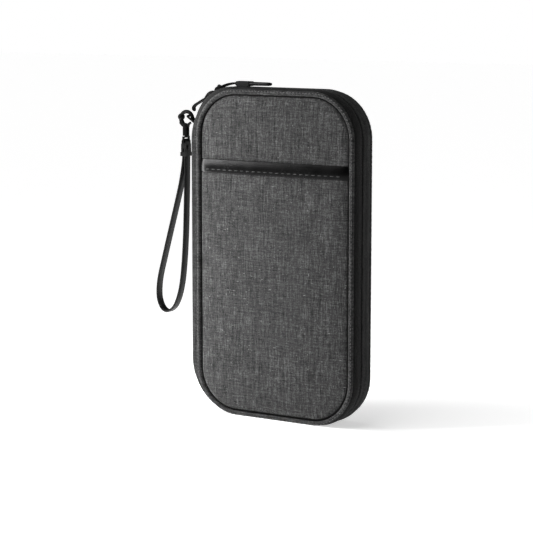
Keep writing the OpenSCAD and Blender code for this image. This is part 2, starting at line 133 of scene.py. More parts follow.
# ------------------------------------------------------------------ materials
class Shader:
    """A small helper for procedural node trees in frame coordinates."""

    def __init__(self, name):
        self.mat = bpy.data.materials.new(name)
        self.mat.use_nodes = True
        self.tree = self.mat.node_tree
        self.bsdf = self.tree.nodes["Principled BSDF"]
        self.object_co = self.node("ShaderNodeTexCoord").outputs["Object"]

    def node(self, kind, **props):
        n = self.tree.nodes.new(kind)
        for k, v in props.items():
            setattr(n, k, v)
        return n

    def put(self, socket, value):
        if hasattr(value, "links"):
            self.tree.links.new(value, socket)
        else:
            socket.default_value = value

    def math(self, op, a, b=0.0, c=0.0):
        n = self.node("ShaderNodeMath", operation=op)
        for socket, v in zip(n.inputs, (a, b, c)):
            self.put(socket, v)
        return n.outputs[0]

    def grains(self, across, up, detail, rough):
        """Noise with grains of a size in metres across (X and Y) and up (Z)."""
        n = self.node("ShaderNodeMapping")
        self.put(n.inputs["Vector"], self.object_co)
        n.inputs["Scale"].default_value = (1 / across, 1 / across, 1 / up)
        return self.noise(n.outputs[0], 1, detail, rough)

    def noise(self, vector, scale, detail, rough):
        n = self.node("ShaderNodeTexNoise")
        self.put(n.inputs["Vector"], vector)
        n.inputs["Scale"].default_value = scale
        n.inputs["Detail"].default_value = detail
        n.inputs["Roughness"].default_value = rough
        return n.outputs["Fac"]

    def voronoi(self, vector, scale):
        n = self.node("ShaderNodeTexVoronoi")
        self.put(n.inputs["Vector"], vector)
        n.inputs["Scale"].default_value = scale
        return n.outputs["Distance"]

    def ramp(self, fac, stops):
        """Greys along (position, brightness) stops."""
        n = self.node("ShaderNodeValToRGB")
        self.put(n.inputs[0], fac)
        band = n.color_ramp
        while len(band.elements) < len(stops):
            band.elements.new(0.5)
        for e, (at, c) in zip(band.elements, stops):
            e.position = at
            e.color = (c, c, c, 1)
        return n.outputs[0]

    def span(self, value, lo, hi, to_lo, to_hi):
        n = self.node("ShaderNodeMapRange")
        for socket, v in zip(n.inputs, (value, lo, hi, to_lo, to_hi)):
            self.put(socket, v)
        return n.outputs[0]

    def mix(self, fac, under, grey):
        """A plain grey over a colour by fac. Sockets 6, 7 and 2 are the colour ones."""
        n = self.node("ShaderNodeMix", data_type="RGBA", blend_type="MIX")
        self.put(n.inputs[0], fac)
        self.put(n.inputs[6], under)
        self.put(n.inputs[7], (grey, grey, grey, 1))
        return n.outputs[2]

    def bump(self, height, strength, distance, under=None):
        n = self.node("ShaderNodeBump")
        n.inputs["Strength"].default_value = strength
        n.inputs["Distance"].default_value = distance
        self.put(n.inputs["Height"], height)
        if under is not None:
            self.put(n.inputs["Normal"], under)
        return n.outputs[0]

    def done(self, color, rough, normal, **plain):
        self.put(self.bsdf.inputs["Base Color"], color)
        self.put(self.bsdf.inputs["Roughness"], rough)
        self.put(self.bsdf.inputs["Normal"], normal)
        for k, v in plain.items():
            self.bsdf.inputs[k.replace("_", " ")].default_value = v
        return self.mat


def weave(s, pitch):
    """Height of a plain weave on any of the three planes, from two crossing waves."""
    split = s.node("ShaderNodeSeparateXYZ")
    s.put(split.inputs[0], s.object_co)
    across = s.math("ADD", split.outputs[0], split.outputs[1])
    k = 2 * math.pi / pitch
    a = s.math("SINE", s.math("MULTIPLY", across, k))
    b = s.math("SINE", s.math("MULTIPLY", split.outputs[2], k))
    return s.math("MULTIPLY", a, b)


def melange(name, painted_light_gain=1.0, streak=1.0):
    """Grey mixed yarn: dark and light streaks along the warp (Z) and the weft, with a few pale flecks. The
    gain scales the whole colour: below 1 it paints shade into a darker copy of the yarn, above 1 it paints
    light into a lighter one.
    """
    s = Shader(name)
    total = s.math("MULTIPLY", s.grains(0.8e-3, 7e-3, 3, 0.62), 0.36 * streak)
    warp_long = s.grains(1.6e-3, 30e-3, 2, 0.5)
    weft = s.grains(5e-3, 0.8e-3, 3, 0.62)
    weft_long = s.grains(18e-3, 1.3e-3, 2, 0.5)
    grain = s.grains(0.8e-3, 0.9e-3, 2, 0.7)
    cloud = s.noise(s.object_co, 75, 3, 0.55)
    parts = ((warp_long, 0.20 * streak), (weft, 0.27), (weft_long, 0.17), (grain, 0.34), (cloud, 0.10))
    for part, weight in parts:
        total = s.math("MULTIPLY_ADD", part, weight, total)
    weights = 0.56 * streak + 0.88
    tone = s.span(total, 0.395 * weights, 0.625 * weights, 0.0, 1.0)
    color = s.ramp(tone, [(0.0, 0.008 * painted_light_gain), (0.46, 0.037 * painted_light_gain), (1.0, 0.115 * painted_light_gain)])
    for across, up, low in ((0.9e-3, 2.2e-3, 0.735), (3.0e-3, 0.8e-3, 0.725)):
        fleck = s.span(s.grains(across, up, 1, 0.4), low, low + 0.09, 0.0, 0.8)
        color = s.mix(fleck, color, 0.22 * painted_light_gain)
    normal = s.bump(weave(s, 0.62e-3), 0.5, 0.00010)
    normal = s.bump(total, 0.55, 0.00045, normal)
    rough = s.span(tone, 0.0, 1.0, 0.95, 0.8)
    return s.done(color, rough, normal, Sheen_Weight=0.03, Sheen_Roughness=0.5, Specular_IOR_Level=0.1)


def dark_cloth(name, tone, pitch=0.7e-3, sheen=0.02, level=0.1):
    """Plain dark cloth with a fine weave of this pitch in metres."""
    s = Shader(name)
    speck = s.grains(0.8e-3, 0.9e-3, 2, 0.65)
    streak = s.grains(2.5e-3, 14e-3, 2, 0.5)
    total = s.math("MULTIPLY_ADD", streak, 0.5, speck)
    color = s.ramp(s.span(total, 0.5, 1.0, 0.0, 1.0), [(0, tone * 0.55), (0.5, tone), (1, tone * 1.9)])
    normal = s.bump(weave(s, pitch), 0.55, 0.00012)
    normal = s.bump(speck, 0.4, 0.0003, normal)
    return s.done(color, s.span(speck, 0.3, 0.7, 0.9, 0.75), normal,
                  Sheen_Weight=sheen, Sheen_Roughness=0.5, Specular_IOR_Level=level)


def tape_cloth(name, tone):
    """Herringbone zip tape."""
    s = Shader(name)
    split = s.node("ShaderNodeSeparateXYZ")
    s.put(split.inputs[0], s.object_co)
    zig = s.math("PINGPONG", s.math("ADD", split.outputs[0], split.outputs[2]), 0.8e-3)
    rib = s.math("SINE", s.math("MULTIPLY", s.math("ADD", split.outputs[1], zig), 2 * math.pi / 0.6e-3))
    speck = s.grains(0.6e-3, 0.6e-3, 2, 0.6)
    color = s.ramp(speck, [(0.3, tone * 0.6), (0.7, tone * 1.6)])
    normal = s.bump(rib, 0.6, 0.00012)
    return s.done(color, s.span(speck, 0.3, 0.7, 0.8, 0.65), normal,
                  Sheen_Weight=0.02, Sheen_Roughness=0.5, Specular_IOR_Level=0.15)


def leather(name, tone, rough, grain, level):
    s = Shader(name)
    cells = s.voronoi(s.object_co, 1250)
    fine = s.noise(s.object_co, 2600, 2, 0.6)
    wear = s.noise(s.object_co, 150, 3, 0.6)
    color = s.ramp(wear, [(0.3, tone * 0.8), (0.62, tone * 1.1), (0.8, tone * 1.7)])
    normal = s.bump(cells, 0.22 * grain, 0.00018)
    normal = s.bump(fine, 0.15 * grain, 0.00008, normal)
    rough_map = s.math("MULTIPLY_ADD", wear, 0.16, rough - 0.08)
    return s.done(color, rough_map, normal, Specular_IOR_Level=level)


def metal(name, tone, rough, metallic=0.55):
    s = Shader(name)
    wear = s.noise(s.object_co, 420, 4, 0.65)
    fine = s.noise(s.object_co, 3500, 2, 0.5)
    color = s.ramp(wear, [(0.35, tone * 0.7), (0.6, tone), (0.78, tone * 1.8)])
    rough_map = s.math("MULTIPLY_ADD", wear, 0.2, rough - 0.1)
    return s.done(color, rough_map, s.bump(fine, 0.06, 0.00005), Metallic=metallic, Specular_IOR_Level=0.18)


def rubber(name, tone, rough):
    s = Shader(name)
    fine = s.noise(s.object_co, 2200, 3, 0.6)
    dust = s.noise(s.object_co, 260, 3, 0.6)
    color = s.ramp(dust, [(0.35, tone * 0.8), (0.75, tone * 1.6)])
    rough_map = s.math("MULTIPLY_ADD", dust, 0.18, rough - 0.09)
    return s.done(color, rough_map, s.bump(fine, 0.15, 0.0001), Specular_IOR_Level=0.25)


def thread_mat(name, tone):
    s = Shader(name)
    ply = s.node("ShaderNodeTexWave", wave_type="BANDS", bands_direction="DIAGONAL")
    s.put(ply.inputs["Vector"], s.object_co)
    ply.inputs["Scale"].default_value = 900
    color = s.ramp(ply.outputs["Fac"], [(0.0, tone * 0.6), (1.0, tone * 1.3)])
    return s.done(color, 0.6, s.bump(ply.outputs["Fac"], 0.4, 0.0001), Sheen_Weight=0.1)


M = {
    "melange": melange("melange_weave"),
    # Painted shade: the piping, the same yarn as the cover, gets a darker copy of it (gain 0.85)
    "piping": melange("melange_piping_painted_shade", 0.85, 0.5),
    # Painted light: the spine, the same yarn as the cover and out of the key lamp's reach, gets a lighter
    # copy of it (gain 1.15)
    "spine": melange("melange_spine_painted_light", 1.15),
    # Near-black cloth that paints the shade in the grooves beside the piping and inside the pull tab's slot
    "seam": dark_cloth("seam_shade", 0.004, 0.7e-3, 0.0, 0.05),
    "gusset_front": dark_cloth("gusset_front_weave", 0.011),
    "gusset_back": dark_cloth("gusset_back_weave", 0.028),
    "tape": tape_cloth("herringbone_tape", 0.005),
    "coil": rubber("nylon_coil", 0.006, 0.4),
    "leather": leather("grained_leather", 0.0018, 0.25, 0.5, 0.125),
    "strap": leather("strap_leather", 0.007, 0.42, 0.8, 0.25),
    "thread": thread_mat("polyester_thread", 0.017),
    "thread_dark": thread_mat("dark_thread", 0.016),
    "thread_light": thread_mat("grey_thread", 0.07),
    "foam": rubber("foam_board", 0.05, 0.8),
    "lining": dark_cloth("lining_weave", 0.030, 0.45e-3, 0.15),
    "pocket": dark_cloth("pocket_weave", 0.042, 0.45e-3, 0.15),
    "hem": dark_cloth("hem_binding", 0.016, 0.5e-3, 0.1),
    "mesh": rubber("mesh_yarn", 0.012, 0.6),
    "metal": metal("lacquered_zinc", 0.010, 0.38),
    "metal_pin": metal("steel_pin", 0.05, 0.3, 0.8),
    "rubber": rubber("moulded_rubber", 0.007, 0.45),
    "cord": dark_cloth("cord_braid", 0.007, 0.5e-3, 0.0, 0.12),
}


# ------------------------------------------------------------------ mesh helpers
def make(name, verts, faces, mat, smooth=True):
    me = bpy.data.meshes.new(name)
    me.from_pydata([tuple(v) for v in np.asarray(verts, float) * MM], [], [tuple(f) for f in faces])
    me.update()
    me.materials.append(M[mat])
    if smooth:
        me.polygons.foreach_set("use_smooth", [True] * len(me.polygons))
    obj = bpy.data.objects.new(name, me)
    bpy.context.scene.collection.objects.link(obj)
    return obj


def outward(obj):
    """Consistent outward normals."""
    bm = bmesh.new()
    bm.from_mesh(obj.data)
    bmesh.ops.remove_doubles(bm, verts=bm.verts, dist=1e-7)
    bmesh.ops.recalc_face_normals(bm, faces=bm.faces)
    bm.to_mesh(obj.data)
    bm.free()
    return obj


def strip_faces(n, k, closed_n=False, closed_k=True, base=0):
    """Quads over n rings of k points, numbered from base."""
    out = []
    for i in range(n if closed_n else n - 1):
        for j in range(k if closed_k else k - 1):
            a, b = base + i * k + j, base + i * k + (j + 1) % k
            c, d = base + (i + 1) % n * k + (j + 1) % k, base + (i + 1) % n * k + j
            out.append((a, b, c, d))
    return out


def swept(name, rings, mat, closed=False):
    """A tube through rings, an array of n rings by k points, capped unless it closes on itself."""
    rings = np.asarray(rings, float)
    n, k = rings.shape[:2]
    faces = strip_faces(n, k, closed)
    if not closed:
        faces.append(tuple(range(k - 1, -1, -1)))
        faces.append(tuple((n - 1) * k + j for j in range(k)))
    return outward(make(name, rings.reshape(-1, 3), faces, mat))


def sheet(name, grid, mat, thickness, normal):
    """A closed thin sheet from an n by m grid of points, thickened along normal."""
    grid = np.asarray(grid, float)
    n, m = grid.shape[:2]
    back = grid + np.asarray(normal, float) * thickness
    verts = np.concatenate([grid.reshape(-1, 3), back.reshape(-1, 3)])
    faces = strip_faces(n, m, closed_k=False)
    off = n * m
    faces += [tuple(off + i for i in reversed(f)) for f in faces]
    rim = [j for j in range(m)] + [i * m + m - 1 for i in range(1, n)]
    rim += [(n - 1) * m + j for j in range(m - 2, -1, -1)] + [i * m for i in range(n - 2, 0, -1)]
    for a, b in zip(rim, rim[1:] + rim[:1]):
        faces.append((a, off + a, off + b, b))
    return outward(make(name, verts, faces, mat))


SIDES = {"front": -1, "back": 1}
SHELL = {"front": "front_shell", "back": "back_shell"}
LIT_SOFTLY = []


def finish(obj, body, slot_name, *replaced):
    """Tie a piece to its body and hide the CAD nodes it replaces; slot_name is not used. A body of None
    leaves the piece unattached, for fabric over both halves.
    """
    if body:
        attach(obj, body)
    if body not in SHELL.values():
        LIT_SOFTLY.append(obj)
    if replaced:
        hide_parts(*replaced)
    return obj


def catmull(points, n):
    """A smooth curve through points, with n steps between each two."""
    p = np.asarray(points, float)
    out = []
    for i in range(len(p) - 1):
        a, b, c, d = p[max(i - 1, 0)], p[i], p[i + 1], p[min(i + 2, len(p) - 1)]
        for t in np.arange(n) / n:
            out.append(0.5 * (2 * b + (c - a) * t + (2 * a - 5 * b + 4 * c - d) * t * t
                              + (3 * b - a - 3 * c + d) * t ** 3))
    return np.array(out + [p[-1]])


def tangents(p):
    d = np.gradient(p, axis=0)
    return d / np.linalg.norm(d, axis=1, keepdims=True)


# ------------------------------------------------------------------ case outline
HALF_W, pipe_y0, pipe_y1, _, CASE_H = box_mm("back_piping")[1:]
PIPE_Y, PIPE_R = (pipe_y0 + pipe_y1) / 2, (pipe_y1 - pipe_y0) / 2
CORNER_R = 35.0
# Where the corners' centres are, then how the spine bows out, the bowed top left corner's centre and
# radius, and where the zip ends on it, in degrees down from the horizontal
EDGE_X, EDGE_Z = HALF_W - CORNER_R, CASE_H - CORNER_R
BOW_Y, BOW_R, BOW_X = 12.5, 6.0, 3.2
ARC_C, ARC_R = (-EDGE_X - BOW_X, EDGE_Z - BOW_R), CORNER_R + BOW_R
ZIP_END, RING_GAP = 17.5, 5.0


def bow(y):
    """Share of the spine's bow at this distance from the middle plane."""
    return math.sqrt(max(0.0, 1 - (y / BOW_Y) ** 2))


def corner_point(c, a, b, inset):
    """Arrays of corners and angles to X and Z, with bow b and inset per point."""
    left, top = (c == 0) | (c == 3), c < 2
    grow = np.where(left, b * BOW_R, 0.0)
    r = CORNER_R - np.ravel(inset) + grow
    cx = np.where(left, -EDGE_X - b * BOW_X, EDGE_X)
    cz = np.where(top, EDGE_Z - grow, CORNER_R + grow)
    rad = np.radians(a)
    return np.stack([cx + r * np.cos(rad), cz + r * np.sin(rad)], -1)


def stations(kind, arc, straight, low_straight=24):
    """Rows of (corner, angle, next corner, next angle, share) along the outline."""
    rows = []

    def turn(c, a0, a1):
        for a in np.linspace(a0, a1, arc):
            rows.append((c, a, c, a, 0.0))

    def run(c0, c1, a, n):
        for t in np.linspace(0, 1, n)[1:-1]:
            rows.append((c0, a, c1, a, t))

    if kind == "spine":
        turn(3, ZIP_END - 180, -180)
        run(3, 0, 180, straight)
        turn(0, 180, 180 - ZIP_END)
        return np.array(rows)
    start = 180 - (ZIP_END if kind == "zip" else 0)
    turn(0, start - (RING_GAP if kind == "zip" else 0), 90)
    run(0, 1, 90, low_straight)
    turn(1, 90, 0)
    run(1, 2, 0, straight)
    turn(2, 0, -90)
    run(2, 3, -90, low_straight)
    turn(3, -90, -start)
    if kind == "loop":
        run(3, 0, 180, straight)
    return np.array(rows)


def along(rows, b, inset):
    """X and Z of the stations, at this bow and inset."""
    p = corner_point(rows[:, 0], rows[:, 1], b, inset)
    q = corner_point(rows[:, 2], rows[:, 3], b, inset)
    return p + (q - p) * rows[:, 4:5]


def lofted(rows, section, side, swell=0.0):
    """Rings over the section's (distance from the middle, inset) points, on one side.

    The top left corner bulges outwards by up to swell, and nothing goes below the ground.
    """
    rings = []
    corner = rows[:, 0] == 0
    turn = np.where(corner, np.clip((rows[:, 1] - 90) / 62, 0, 1), 0.0)
    for y, inset in section:
        share = float(np.interp(y, [3.9, 5.2, 9.2, 11.7], [0, 1, 1, 0.1]))
        bulge = swell * np.sin(turn * math.pi) ** 0.8 * share
        p = along(rows, bow(y), inset - bulge[:, None])
        p[:, 1] = np.maximum(p[:, 1], 0.0)
        rings.append(np.stack([p[:, 0], np.full(len(p), side * y), p[:, 1]], -1))
    return np.stack(rings, 1)


def arc_length(p):
    return np.concatenate([[0], np.cumsum(np.linalg.norm(np.diff(p, axis=0), axis=1))])


def resampled(p, step, closed=False):
    """Points every step along a polyline."""
    if closed:
        p = np.concatenate([p, p[:1]])
    s = arc_length(p)
    n = max(2, int(round(s[-1] / step)))
    t = np.linspace(0, s[-1], n + 1)[: n if closed else n + 1]
    return np.stack([np.interp(t, s, p[:, i]) for i in range(3)], -1)


def noise_1d(n, seed, waves, size):
    """A smooth seeded wave of n values that closes on itself."""
    rng = np.random.default_rng(seed)
    t = np.arange(n) / n * 2 * math.pi
    total = np.zeros(n)
    for w in waves:
        total += rng.normal() * np.cos(w * t + rng.uniform(0, 6.28))
    return total * size / max(1e-9, np.abs(total).max())


# ------------------------------------------------------------------ piping
def round_loop(points):
    """Unit tangents and outward directions of a closed loop of points in a plane across Y."""
    t = np.roll(points, -1, 0) - np.roll(points, 1, 0)
    t /= np.linalg.norm(t, axis=1, keepdims=True)
    return t, np.stack([t[:, 2], np.zeros(len(points)), -t[:, 0]], -1)


def outline_loop(inset, y, step):
    """Points every step along the whole outline, at this inset and Y."""
    p = along(stations("loop", 26, 60, 30), 0.0, inset)
    return resampled(np.stack([p[:, 0], np.full(len(p), y), p[:, 1]], -1), step, True)


def piping(which):
    """Fabric rolled over a cord: slightly rippled, lower where the case stands on it, with stitches."""
    side = SIDES[which]
    line = outline_loop(PIPE_R, side * PIPE_Y, 0.9)
    n, k = len(line), 16
    out = round_loop(line)[1]
    deep = np.array([0.0, 1.0, 0.0])
    rng = np.random.default_rng(11 if side < 0 else 12)
    ripple = noise_1d(n, 5, range(60, 200, 7), 0.07)
    phase = rng.uniform(0, 6.28)
    rise = np.maximum(0, out[:, 2])
    line = line - out * (0.35 * rise)[:, None]
    rings = np.zeros((n, k, 3))
    for j in range(k):
        a = 2 * math.pi * j / k
        twist = 0.05 * np.sin(np.arange(n) * 2 * math.pi / 4 + a + phase)
        r = (PIPE_R - 0.15 - 0.3 * rise + ripple + twist)[:, None]
        rings[:, j] = line + r * (math.cos(a) * out + math.sin(a) * side * deep)
    lean = math.radians(112)
    normals = math.cos(lean) * out + math.sin(lean) * side * deep
    spots = line + (PIPE_R - 0.3) * normals
    turned = np.roll(spots, -1, 0) - np.roll(spots, 1, 0)
    pick = np.arange(0, n, 3)
    dashes = capsule_row(
        f"{which}_piping_stitches", spots[pick], turned[pick], normals[pick], 1.5, 0.24, "thread_light", 0.1)
    finish(dashes, SHELL[which], "black_thread")
    obj = swept(f"{which}_piping_cord", rings, "piping", closed=True)
    finish(obj, SHELL[which], "piping_fabric", f"{which}_piping")


def groove_shade_line(which, label, inset, y, r, swell=0.0):
    """Painted shade: a near-black line in the bottom of the groove beside the piping, standing for the shade
    that falls there; swell widens it on the case's left side, where the piping shades the groove.
    """
    line = outline_loop(inset, SIDES[which] * y, 1.6)
    out = round_loop(line)[1]
    shade_width = r * (1 + swell * np.maximum(0, -out[:, 0:1]))
    deep = np.array([0, 1.0, 0])
    rings = [line + shade_width * math.cos(a) * out + r * math.sin(a) * deep for a in np.arange(8) * math.pi / 4]
    obj = swept(f"{which}_{label}", np.stack(rings, 1), "seam", closed=True)
    finish(obj, SHELL[which], "dark_gusset")


# ------------------------------------------------------------------ panels
def half_width(z, inset):
    """Half width of the rounded outline at height z."""
    r = CORNER_R - inset
    d = max(0.0, (CORNER_R - z), (z - EDGE_Z))
    return EDGE_X + (math.sqrt(max(0.0, r * r - d * d)) if d > 0 else r)


def edge_distance(x, z, inset):
    """Distance inwards from the rounded outline."""
    r = CORNER_R - inset
    qx = np.abs(x) - (HALF_W - inset - r)
    qz = np.abs(z - CASE_H / 2) - (CASE_H / 2 - inset - r)
    outside = np.hypot(np.maximum(qx, 0), np.maximum(qz, 0))
    return r - outside - np.minimum(np.maximum(qx, qz), 0)


def heights(inset, top):
    """Heights of the rows of a panel, denser round the corners."""
    r = CORNER_R - inset
    step = 2.6
    a = np.linspace(0, math.pi / 2, 26)
    low = CORNER_R - r * np.cos(a)
    mid = np.arange(CORNER_R + step, EDGE_Z, step)
    zs = np.concatenate([low, mid, EDGE_Z + r * np.sin(a)])
    if top is not None:
        zs = np.append(zs[zs < top - 0.5], top)
    return zs


def panel_grid(inset, top=None, columns=64):
    """X and Z of a grid over the rounded outline, cut off level at top."""
    zs = heights(inset, top)
    s = np.sin(np.linspace(-1, 1, columns) * math.pi / 2) * 0.55 + np.linspace(-1, 1, columns) * 0.45
    w = np.array([half_width(z, inset) for z in zs])
    return w[:, None] * s[None, :], np.repeat(zs[:, None], columns, 1)


def wavy(x, z, seed, size):
    """Soft seeded unevenness of a stretched cover."""
    rng = np.random.default_rng(seed)
    count = 9
    total = np.zeros_like(x)
    for _ in range(count):
        length = rng.uniform(14, 60)
        a, ph = rng.uniform(0, math.pi), rng.uniform(0, 6.28)
        total += np.sin((x * math.cos(a) + z * math.sin(a)) * 2 * math.pi / length + ph)
    return total / count * size


SEAM_Y = 12.0
PANEL_INSET = 3.7
POCKET_TOP = box_mm("front_pocket")[5]
TRIM_Z = box_mm("pocket_trim")[4:]


def crown(x, z):
    """How far the cover stands from the middle plane: padded, and pulled in at the seam."""
    d = np.maximum(edge_distance(x, z, PANEL_INSET), 0)
    puff = 2.15 * (1 - np.exp(-(d / 2.0)))
    dome = 0.55 * (1 - (x / 64) ** 2) * (1 - ((z - CASE_H / 2) / 120) ** 2)
    return SEAM_Y + puff + np.maximum(dome, 0) + wavy(x, z, 3, 0.10) * np.minimum(d / 8, 1)


def relaxed(obj, held):
    """Cloth simulation of a stretched cover: blown against its held points, softly capped, then applied."""
    pressure, frames = 1.3, 20
    cap = 0.8 * MM
    count = len(obj.data.vertices)
    rest = np.empty(count * 3)
    obj.data.vertices.foreach_get("co", rest)
    rest = rest.reshape(-1, 3)
    group = obj.vertex_groups.new(name="held")
    group.add([int(i) for i in np.nonzero(held(rest / MM))[0]], 1.0, "REPLACE")
    mod = obj.modifiers.new("stretch", "CLOTH")
    cloth = mod.settings
    cloth.quality, cloth.mass, cloth.air_damping = 6, 0.3, 5.0
    cloth.tension_stiffness = cloth.compression_stiffness = 15.0
    cloth.shear_stiffness, cloth.bending_stiffness = 8.0, 0.6
    cloth.vertex_group_mass = "held"
    cloth.use_pressure, cloth.uniform_pressure_force = True, pressure
    cloth.effector_weights.gravity = 0
    mod.collision_settings.use_collision = False
    mod.point_cache.frame_start, mod.point_cache.frame_end = 1, frames
    for f in range(1, frames + 1):
        bpy.context.scene.frame_set(f)
    done = obj.evaluated_get(bpy.context.evaluated_depsgraph_get())
    settled = np.empty(count * 3)
    done.data.vertices.foreach_get("co", settled)
    move = settled.reshape(-1, 3) - rest
    size = np.linalg.norm(move, axis=1, keepdims=True) + 1e-12
    rest += move / size * cap * np.tanh(size / cap)
    obj.modifiers.remove(mod)
    obj.vertex_groups.remove(group)
    obj.data.vertices.foreach_set("co", rest.ravel())
    obj.data.update()
    bpy.context.scene.frame_set(1)


def near_seam(p):
    """Which points lie in the cover's sewn margin."""
    return edge_distance(p[:, 0], p[:, 2], PANEL_INSET) < 2.5


def cover(which):
    """Padded fabric over a board. The front one is also held down under the slip pocket."""
    side = SIDES[which]
    x, z = panel_grid(PANEL_INSET)
    y = side * crown(x, z)
    obj = sheet(f"{which}_cover", np.stack([x, y, z], -1), "melange", 0.7, (0, -side, 0))
    low = TRIM_Z[1] + 3 if which == "front" else -1
    relaxed(obj, lambda p: near_seam(p) | (p[:, 2] < low))
    finish(obj, SHELL[which], "melange_fabric", f"{which}_panel")


def pocket_stand(x, z):
    """How far the slip pocket stands from the middle plane: a little looser towards its mouth."""
    d = np.maximum(edge_distance(x, z, PANEL_INSET), 0)
    rise = np.clip((z - (POCKET_TOP - 60)) / 60, 0, 1) ** 2
    return crown(x, z) + (0.55 + 0.55 * rise * (1 - (x / 66) ** 2)) * (1 - np.exp(-d / 1.6)) + 0.1


def slip_pocket():
    x, z = panel_grid(PANEL_INSET, TRIM_Z[1] - 1.2)
    y = -pocket_stand(x, z) + wavy(x, z, 8, 0.08)
    obj = sheet("slip_pocket_panel", np.stack([x, y, z], -1), "melange", 0.45, (0, 1, 0))
    top = TRIM_Z[0] - 2
    relaxed(obj, lambda p: near_seam(p) | (p[:, 2] > top))
    finish(obj, "front_shell", "melange_fabric", "front_pocket")


def trim_binding():
    """Leather strip folded over the pocket's mouth, rolling back towards its top edge."""
    lo, hi = TRIM_Z
    half, lip = HALF_W - 3.0, 0.03
    xs = np.concatenate([[-half - lip], np.linspace(-half, half, 90), [half + lip]])
    h = hi - lo
    profile = [(0.15, 0.0), (0.78, 0.25), (1.0, 0.9), (1.08, 2.0)]
    profile += [(1.12 - 1.3 * u * u, 3.0 + u * (h - 3.4)) for u in np.linspace(0, 1, 10)]
    profile += [(-0.32, h - 0.1), (-0.48, h - 0.3), (-0.6, h - 1.0), (-0.6, h - 2.4), (-0.58, h - 4.5),
                (-0.3, h - 4.7), (0.0, h - 5.0), (0.0, 3.0), (0.0, 0.6)]
    rings = []
    sag = noise_1d(len(xs), 21, range(2, 14), 0.10)
    for i, x in enumerate(xs):
        base = pocket_stand(np.array([x]), np.array([(lo + hi) / 2]))[0]
        rings.append([(x, -(base + out), lo + up + sag[i] * 0.5) for out, up in profile])
    obj = swept("pocket_binding", rings, "leather")
    finish(obj, "front_shell", "black_leather", "pocket_trim")


def capsule_row(name, places, directions, normals, length, radius, mat, sink=0.3):
    """Many short stitches as bent capsules, in one mesh."""
    verts, faces = [], []
    k, rows = 6, ((-0.5, 0.35), (-0.44, 0.8), (-0.2, 1.0), (0.2, 1.0), (0.44, 0.8), (0.5, 0.35))
    for p, d, nrm in zip(places, directions, normals):
        d = d / np.linalg.norm(d)
        nrm = nrm / np.linalg.norm(nrm)
        w = np.cross(d, nrm)
        base = len(verts)
        for along_share, share in rows:
            c = p + d * along_share * length + nrm * (radius * (0.9 * (1 - (2 * along_share) ** 2) - sink))
            for j in range(k):
                a = 2 * math.pi * j / k
                verts.append(c + radius * share * (math.cos(a) * nrm + math.sin(a) * w))
        faces += strip_faces(len(rows), k, base=base)
        faces.append(tuple(base + j for j in range(k - 1, -1, -1)))
        faces.append(tuple(base + (len(rows) - 1) * k + j for j in range(k)))
    return make(name, verts, faces, mat)


def trim_stitches():
    """One row of stitches through the binding."""
    z0 = sum(box_mm("trim_stitching")[4:]) / 2
    pitch, count = 5.1, 23
    xs = (np.arange(count) - (count - 1) / 2) * pitch
    base = pocket_stand(xs, np.full(count, sum(TRIM_Z) / 2))
    places = np.stack([xs, -(base + 0.98), np.full(count, z0)], -1)
    dirs = np.tile([1.0, 0, 0.04], (count, 1))
    norms = np.tile([0, -1.0, 0], (count, 1))
    obj = capsule_row("binding_stitches", places, dirs, norms, 3.1, 0.27, "thread")
    finish(obj, "front_shell", "black_thread", "trim_stitching")


# ------------------------------------------------------------------ gusset, zip and spine
def closed_section(outer, thickness):
    """Outer (y, inset) points and the same moved inwards, as one closed section."""
    return outer + [(y, i + thickness) for y, i in reversed(outer)]


# Outer faces as (distance from the middle, inset) points
BAND_OUTER = [(11.7, 2.3), (11.3, 1.4), (10.8, 0.55), (10.0, -0.15), (9.0, -0.65), (7.6, -0.95), (6.0, -0.95),
              (5.0, -0.75), (4.3, -0.3), (3.8, 0.0), (3.0, 0.02), (1.9, 0.05), (1.25, 0.2), (0.95, 0.55)]
TAPE_OUTER = [(8.0, 1.35), (6.0, 1.2), (4.0, 1.1), (2.0, 1.1), (0.5, 1.2)]
ZIP_ROWS = stations("zip", 30, 70, 40)


def outline_run(y, inset, side, step):
    """Points every step along the zip's path, their tangents and their outward directions."""
    line = resampled(lofted(ZIP_ROWS, [(y, inset)], side)[:, 0], step)
    t = tangents(line)
    return line, t, np.stack([-t[:, 2], np.zeros(len(t)), t[:, 0]], -1)


def band(which):
    """Puffed gusset with a row of stitches beside the zip."""
    side = SIDES[which]
    rings = lofted(ZIP_ROWS, closed_section(BAND_OUTER, 0.8), side, 1.5)
    obj = swept(f"{which}_gusset", rings, f"gusset_{which}")
    finish(obj, SHELL[which], "dark_gusset", f"{which}_band")
    line, t, out = outline_run(2.9, -0.02, side, 2.6)
    stitches = capsule_row(f"{which}_gusset_stitches", line, t, out, 1.7, 0.14, "thread_dark")
    finish(stitches, SHELL[which], "black_thread")


def zip_half(which):
    """One zip tape and its half of the coil, as short leaning turns."""
    side = SIDES[which]
    obj = swept(f"{which}_tape", lofted(ZIP_ROWS, closed_section(TAPE_OUTER, 0.45), side), "tape")
    finish(obj, SHELL[which], "zip_tape", f"{which}_zip_tape")
    line, t, out = outline_run(0.75, 2.1, side, 1.5)
    lean = np.tile([0.0, -side, 0.0], (len(line), 1)) + t * 0.18
    teeth = capsule_row(f"{which}_coil", line, lean, out, 1.15, 0.42, "coil", 0.0)
    finish(teeth, SHELL[which], "zip_coil", f"{which}_zip_coil")


def folded(obj):
    """Bake the piece's placement into its mesh."""
    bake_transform(obj)


